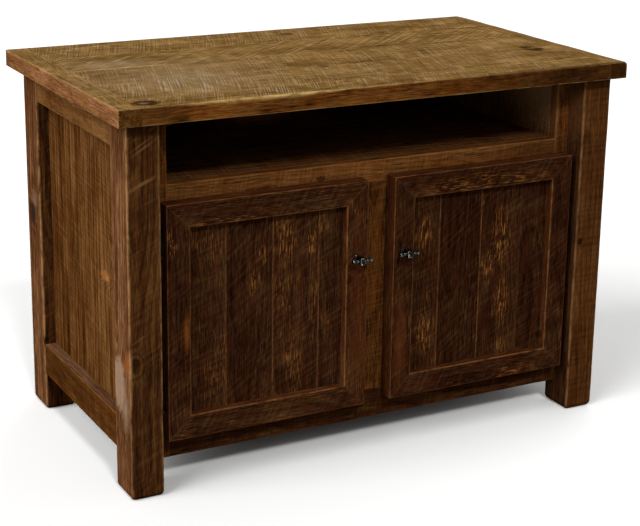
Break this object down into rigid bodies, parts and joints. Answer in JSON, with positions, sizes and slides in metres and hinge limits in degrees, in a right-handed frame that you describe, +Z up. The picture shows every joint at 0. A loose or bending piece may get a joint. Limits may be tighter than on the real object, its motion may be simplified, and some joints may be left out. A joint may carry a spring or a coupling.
{
  "type": "media stand",
  "caption": "Rustic plank-topped wooden media stand on square posts, with an open equipment bay over a cabinet closed by a pair of hinged, mitred, boarded doors.",
  "frame": {"origin": "on the floor, under the middle of the tabletop", "axes": "+X to the right seen from the front, +Y to the back, +Z up; the doors face -Y"},
  "size_m": [1.067, 0.61, 0.73],
  "materials": {
    "top_wood": "rough-sawn pine, brown stain, satin lacquer",
    "leg_wood": "rough-sawn pine, dark brown stain, satin lacquer",
    "side_wood": "pine boards, brown stain, satin lacquer",
    "frame_wood": "planed pine, brown stain, satin lacquer",
    "door_wood": "wire-brushed pine, dark brown stain, satin lacquer",
    "inner_wood": "pine boards, dark stain, matt",
    "knob_iron": "forged, blackened",
    "hinge_steel": "bronzed steel",
    "screw_steel": "zinc plated",
    "catch_plastic": "moulded catch housing"
  },
  "bodies": {
    "carcass": {"top_plank_1": "top_wood", "top_plank_2": "top_wood", "top_plank_3": "top_wood", "top_plank_4": "top_wood", "top_plank_5": "top_wood", "top_end_left": "top_wood", "leg_front_left": "leg_wood", "leg_back_left": "leg_wood", "side_top_rail_left": "side_wood", "side_bottom_rail_left": "side_wood", "side_panel_left": "side_wood", "left_stile": "frame_wood", "top_end_right": "top_wood", "leg_front_right": "leg_wood", "leg_back_right": "leg_wood", "side_top_rail_right": "side_wood", "side_bottom_rail_right": "side_wood", "side_panel_right": "side_wood", "right_stile": "frame_wood", "centre_stile": "frame_wood", "shelf_rail": "frame_wood", "bottom_rail": "frame_wood", "lining_boards": "inner_wood", "lining_battens": "inner_wood", "shelf_boards": "inner_wood", "floor_boards": "inner_wood", "cleats": "inner_wood", "back_rails": "inner_wood", "back_boards": "inner_wood", "frame_hinge_leaves": "hinge_steel", "hinge_pins": "hinge_steel", "frame_hinge_screws": "screw_steel", "top_screws": "screw_steel", "catch_magnets": "catch_plastic"},
    "left_door": {"left_door_hinge_stile": "door_wood", "left_door_meeting_stile": "door_wood", "left_door_top_rail": "door_wood", "left_door_bottom_rail": "door_wood", "left_door_board_1": "door_wood", "left_door_board_2": "door_wood", "left_door_board_3": "door_wood", "left_door_board_4": "door_wood", "left_door_hinge_leaves": "hinge_steel", "left_door_hinge_screws": "screw_steel", "left_door_knob": "knob_iron", "left_door_knob_screw": "screw_steel", "left_door_strike": "hinge_steel"},
    "right_door": {"right_door_hinge_stile": "door_wood", "right_door_meeting_stile": "door_wood", "right_door_top_rail": "door_wood", "right_door_bottom_rail": "door_wood", "right_door_board_1": "door_wood", "right_door_board_2": "door_wood", "right_door_board_3": "door_wood", "right_door_board_4": "door_wood", "right_door_hinge_leaves": "hinge_steel", "right_door_hinge_screws": "screw_steel", "right_door_knob": "knob_iron", "right_door_knob_screw": "screw_steel", "right_door_strike": "hinge_steel"}
  },
  "joints": [
    {"name": "left_door_hinge", "type": "hinge", "parent": "carcass", "child": "left_door", "pos_m": [-0.4265, -0.255, 0.3215], "axis": [0, 0, -1], "range_deg": [0, 95]},
    {"name": "right_door_hinge", "type": "hinge", "parent": "carcass", "child": "right_door", "pos_m": [0.4265, -0.255, 0.3215], "axis": [0, 0, 1], "range_deg": [0, 95]}
  ]
}
